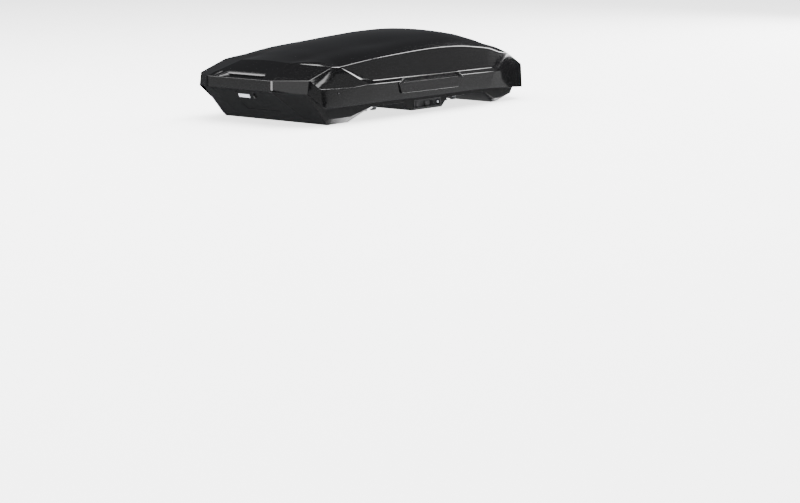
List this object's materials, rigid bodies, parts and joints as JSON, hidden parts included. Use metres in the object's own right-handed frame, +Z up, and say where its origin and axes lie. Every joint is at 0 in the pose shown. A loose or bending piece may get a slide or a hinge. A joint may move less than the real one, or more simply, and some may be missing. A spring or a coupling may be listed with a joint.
{
  "type": "roof cargo box",
  "caption": "Long faceted roof cargo box with a gloss lid that opens from either side, side grips, locks, telescopic lid lifters and roof bar clamps.",
  "frame": {"origin": "centre of the box's footprint, at the height of the lowest belly flats", "axes": "+X towards the nose of the box, +Y to its left side, +Z up"},
  "size_m": [2.072, 0.82, 0.403],
  "materials": {
    "lid_gloss": "high-gloss black capped ABS with crisp moulded bevels",
    "base_satin": "satin black ABS with a fine grain",
    "grip_plastic": "satin black moulded grip",
    "dark_plastic": "dark grey glass-filled plastic",
    "pale_grey": "pale grey satin plastic",
    "steel": "zinc plated steel",
    "chrome": "polished chrome"
  },
  "bodies": {
    "base": {"base_shell": "base_satin", "rear_badge": "pale_grey", "left_floor_rail": "steel", "right_floor_rail": "steel", "left_claw_rail": "dark_plastic", "right_claw_rail": "dark_plastic", "left_lock_panel": "dark_plastic", "right_lock_panel": "dark_plastic", "rear_lifter_foot": "steel", "front_lifter_foot": "steel"},
    "right_rod": {"right_hinge_rod": "steel"},
    "lid": {"lid_shell": "lid_gloss", "left_hinge_rod": "steel", "left_hinge_rail": "dark_plastic", "right_hinge_rail": "dark_plastic", "left_grip": "grip_plastic", "right_grip": "grip_plastic", "rear_lid_bow": "base_satin", "front_lid_bow": "base_satin", "rear_lifter_head_bracket": "steel", "front_lifter_head_bracket": "steel"},
    "left_slider": {"left_lock_slider": "pale_grey"},
    "left_claws": {"left_claw_shaft": "steel", "left_rear_claw": "steel", "left_middle_claw": "steel", "left_front_claw": "steel"},
    "left_key": {"left_key_plug": "chrome"},
    "right_slider": {"right_lock_slider": "pale_grey"},
    "right_claws": {"right_claw_shaft": "steel", "right_rear_claw": "steel", "right_middle_claw": "steel", "right_front_claw": "steel"},
    "right_key": {"right_key_plug": "chrome"},
    "rear_lifter_pin": {"rear_lifter_pin": "steel"},
    "rear_lifter_tube": {"rear_lifter_tube": "dark_plastic"},
    "rear_lifter_sleeve": {"rear_lifter_sleeve": "steel"},
    "rear_lifter_stem": {"rear_lifter_stem": "chrome"},
    "front_lifter_pin": {"front_lifter_pin": "steel"},
    "front_lifter_tube": {"front_lifter_tube": "dark_plastic"},
    "front_lifter_sleeve": {"front_lifter_sleeve": "steel"},
    "front_lifter_stem": {"front_lifter_stem": "chrome"},
    "rear_left_clamp": {"rear_left_clamp_carriage": "dark_plastic"},
    "rear_left_clamp_knob": {"rear_left_clamp_knob": "grip_plastic"},
    "rear_left_clamp_rear_jaw": {"rear_left_clamp_rear_jaw": "steel"},
    "rear_left_clamp_front_jaw": {"rear_left_clamp_front_jaw": "steel"},
    "rear_right_clamp": {"rear_right_clamp_carriage": "dark_plastic"},
    "rear_right_clamp_knob": {"rear_right_clamp_knob": "grip_plastic"},
    "rear_right_clamp_rear_jaw": {"rear_right_clamp_rear_jaw": "steel"},
    "rear_right_clamp_front_jaw": {"rear_right_clamp_front_jaw": "steel"},
    "front_left_clamp": {"front_left_clamp_carriage": "dark_plastic"},
    "front_left_clamp_knob": {"front_left_clamp_knob": "grip_plastic"},
    "front_left_clamp_rear_jaw": {"front_left_clamp_rear_jaw": "steel"},
    "front_left_clamp_front_jaw": {"front_left_clamp_front_jaw": "steel"},
    "front_right_clamp": {"front_right_clamp_carriage": "dark_plastic"},
    "front_right_clamp_knob": {"front_right_clamp_knob": "grip_plastic"},
    "front_right_clamp_rear_jaw": {"front_right_clamp_rear_jaw": "steel"},
    "front_right_clamp_front_jaw": {"front_right_clamp_front_jaw": "steel"}
  },
  "joints": [
    {"name": "lid_open_right", "type": "hinge", "parent": "base", "child": "right_rod", "pos_m": [0, 0.346, 0.108], "axis": [-1, 0, 0], "range_deg": [0, 36]},
    {"name": "lid_open_left", "type": "hinge", "parent": "right_rod", "child": "lid", "pos_m": [0, -0.346, 0.108], "axis": [1, 0, 0], "range_deg": [0, 36]},
    {"name": "left_slider_slide", "type": "slide", "parent": "base", "child": "left_slider", "axis": [1, 0, 0], "range_m": [0, 0.025]},
    {"name": "left_claws_turn", "type": "hinge", "parent": "base", "child": "left_claws", "pos_m": [0, 0.33, 0.086], "axis": [-1, 0, 0], "range_deg": [0, 50]},
    {"name": "left_key_turn", "type": "hinge", "parent": "base", "child": "left_key", "pos_m": [0.14, 0.34, 0.046], "axis": [0, 1, 0], "range_deg": [0, 90]},
    {"name": "right_slider_slide", "type": "slide", "parent": "base", "child": "right_slider", "axis": [1, 0, 0], "range_m": [0, 0.025]},
    {"name": "right_claws_turn", "type": "hinge", "parent": "base", "child": "right_claws", "pos_m": [0, -0.33, 0.086], "axis": [1, 0, 0], "range_deg": [0, 50]},
    {"name": "right_key_turn", "type": "hinge", "parent": "base", "child": "right_key", "pos_m": [0.14, -0.34, 0.046], "axis": [0, -1, 0], "range_deg": [0, 90]},
    {"name": "rear_lifter_tilt_right", "type": "hinge", "parent": "base", "child": "rear_lifter_pin", "pos_m": [-0.662, 0, 0.03], "axis": [-1, 0, 0], "range_deg": [0, 22]},
    {"name": "rear_lifter_tilt_left", "type": "hinge", "parent": "rear_lifter_pin", "child": "rear_lifter_tube", "pos_m": [-0.662, 0, 0.03], "axis": [1, 0, 0], "range_deg": [0, 22]},
    {"name": "rear_sleeve_slide", "type": "slide", "parent": "rear_lifter_tube", "child": "rear_lifter_sleeve", "axis": [0, 0, 1], "range_m": [0, 0.205]},
    {"name": "rear_stem_slide", "type": "slide", "parent": "rear_lifter_sleeve", "child": "rear_lifter_stem", "axis": [0, 0, 1], "range_m": [0, 0.205]},
    {"name": "front_lifter_tilt_right", "type": "hinge", "parent": "base", "child": "front_lifter_pin", "pos_m": [0.694, 0, 0.03], "axis": [-1, 0, 0], "range_deg": [0, 22]},
    {"name": "front_lifter_tilt_left", "type": "hinge", "parent": "front_lifter_pin", "child": "front_lifter_tube", "pos_m": [0.694, 0, 0.03], "axis": [1, 0, 0], "range_deg": [0, 22]},
    {"name": "front_sleeve_slide", "type": "slide", "parent": "front_lifter_tube", "child": "front_lifter_sleeve", "axis": [0, 0, 1], "range_m": [0, 0.205]},
    {"name": "front_stem_slide", "type": "slide", "parent": "front_lifter_sleeve", "child": "front_lifter_stem", "axis": [0, 0, 1], "range_m": [0, 0.205]},
    {"name": "rear_left_clamp_slide", "type": "slide", "parent": "base", "child": "rear_left_clamp", "axis": [1, 0, 0], "range_m": [-0.03, 0.03]},
    {"name": "rear_left_clamp_knob_turn", "type": "hinge", "parent": "rear_left_clamp", "child": "rear_left_clamp_knob", "pos_m": [-0.306, 0.23, 0.1], "axis": [0, 0, 1], "range_deg": [0, 720]},
    {"name": "rear_left_clamp_rear_jaw_open", "type": "hinge", "parent": "rear_left_clamp", "child": "rear_left_clamp_rear_jaw", "pos_m": [-0.356, 0.23, 0.087], "axis": [0, 1, 0], "range_deg": [0, 20]},
    {"name": "rear_left_clamp_front_jaw_open", "type": "hinge", "parent": "rear_left_clamp", "child": "rear_left_clamp_front_jaw", "pos_m": [-0.256, 0.23, 0.087], "axis": [0, -1, 0], "range_deg": [0, 20]},
    {"name": "rear_right_clamp_slide", "type": "slide", "parent": "base", "child": "rear_right_clamp", "axis": [1, 0, 0], "range_m": [-0.03, 0.03]},
    {"name": "rear_right_clamp_knob_turn", "type": "hinge", "parent": "rear_right_clamp", "child": "rear_right_clamp_knob", "pos_m": [-0.306, -0.23, 0.1], "axis": [0, 0, 1], "range_deg": [0, 720]},
    {"name": "rear_right_clamp_rear_jaw_open", "type": "hinge", "parent": "rear_right_clamp", "child": "rear_right_clamp_rear_jaw", "pos_m": [-0.356, -0.23, 0.087], "axis": [0, 1, 0], "range_deg": [0, 20]},
    {"name": "rear_right_clamp_front_jaw_open", "type": "hinge", "parent": "rear_right_clamp", "child": "rear_right_clamp_front_jaw", "pos_m": [-0.256, -0.23, 0.087], "axis": [0, -1, 0], "range_deg": [0, 20]},
    {"name": "front_left_clamp_slide", "type": "slide", "parent": "base", "child": "front_left_clamp", "axis": [1, 0, 0], "range_m": [-0.03, 0.03]},
    {"name": "front_left_clamp_knob_turn", "type": "hinge", "parent": "front_left_clamp", "child": "front_left_clamp_knob", "pos_m": [0.389, 0.23, 0.1], "axis": [0, 0, 1], "range_deg": [0, 720]},
    {"name": "front_left_clamp_rear_jaw_open", "type": "hinge", "parent": "front_left_clamp", "child": "front_left_clamp_rear_jaw", "pos_m": [0.339, 0.23, 0.087], "axis": [0, 1, 0], "range_deg": [0, 20]},
    {"name": "front_left_clamp_front_jaw_open", "type": "hinge", "parent": "front_left_clamp", "child": "front_left_clamp_front_jaw", "pos_m": [0.439, 0.23, 0.087], "axis": [0, -1, 0], "range_deg": [0, 20]},
    {"name": "front_right_clamp_slide", "type": "slide", "parent": "base", "child": "front_right_clamp", "axis": [1, 0, 0], "range_m": [-0.03, 0.03]},
    {"name": "front_right_clamp_knob_turn", "type": "hinge", "parent": "front_right_clamp", "child": "front_right_clamp_knob", "pos_m": [0.389, -0.23, 0.1], "axis": [0, 0, 1], "range_deg": [0, 720]},
    {"name": "front_right_clamp_rear_jaw_open", "type": "hinge", "parent": "front_right_clamp", "child": "front_right_clamp_rear_jaw", "pos_m": [0.339, -0.23, 0.087], "axis": [0, 1, 0], "range_deg": [0, 20]},
    {"name": "front_right_clamp_front_jaw_open", "type": "hinge", "parent": "front_right_clamp", "child": "front_right_clamp_front_jaw", "pos_m": [0.439, -0.23, 0.087], "axis": [0, -1, 0], "range_deg": [0, 20]}
  ],
  "couplings": [
    {"joint": "left_claws_turn", "follows": "left_slider_slide", "rad_per_m": 34.9},
    {"joint": "right_claws_turn", "follows": "right_slider_slide", "rad_per_m": 34.9},
    {"joint": "rear_lifter_tilt_right", "follows": "lid_open_right", "ratio": 0.603},
    {"joint": "rear_lifter_tilt_left", "follows": "lid_open_left", "ratio": 0.603},
    {"joint": "rear_sleeve_slide", "follows": "lid_open_right", "m_per_rad": 0.322},
    {"joint": "rear_stem_slide", "follows": "lid_open_left", "m_per_rad": 0.322},
    {"joint": "front_lifter_tilt_right", "follows": "lid_open_right", "ratio": 0.603},
    {"joint": "front_lifter_tilt_left", "follows": "lid_open_left", "ratio": 0.603},
    {"joint": "front_sleeve_slide", "follows": "lid_open_right", "m_per_rad": 0.322},
    {"joint": "front_stem_slide", "follows": "lid_open_left", "m_per_rad": 0.322},
    {"joint": "rear_left_clamp_rear_jaw_open", "follows": "rear_left_clamp_knob_turn", "ratio": 0.0277},
    {"joint": "rear_left_clamp_front_jaw_open", "follows": "rear_left_clamp_knob_turn", "ratio": 0.0277},
    {"joint": "rear_right_clamp_rear_jaw_open", "follows": "rear_right_clamp_knob_turn", "ratio": 0.0277},
    {"joint": "rear_right_clamp_front_jaw_open", "follows": "rear_right_clamp_knob_turn", "ratio": 0.0277},
    {"joint": "front_left_clamp_rear_jaw_open", "follows": "front_left_clamp_knob_turn", "ratio": 0.0277},
    {"joint": "front_left_clamp_front_jaw_open", "follows": "front_left_clamp_knob_turn", "ratio": 0.0277},
    {"joint": "front_right_clamp_rear_jaw_open", "follows": "front_right_clamp_knob_turn", "ratio": 0.0277},
    {"joint": "front_right_clamp_front_jaw_open", "follows": "front_right_clamp_knob_turn", "ratio": 0.0277}
  ]
}
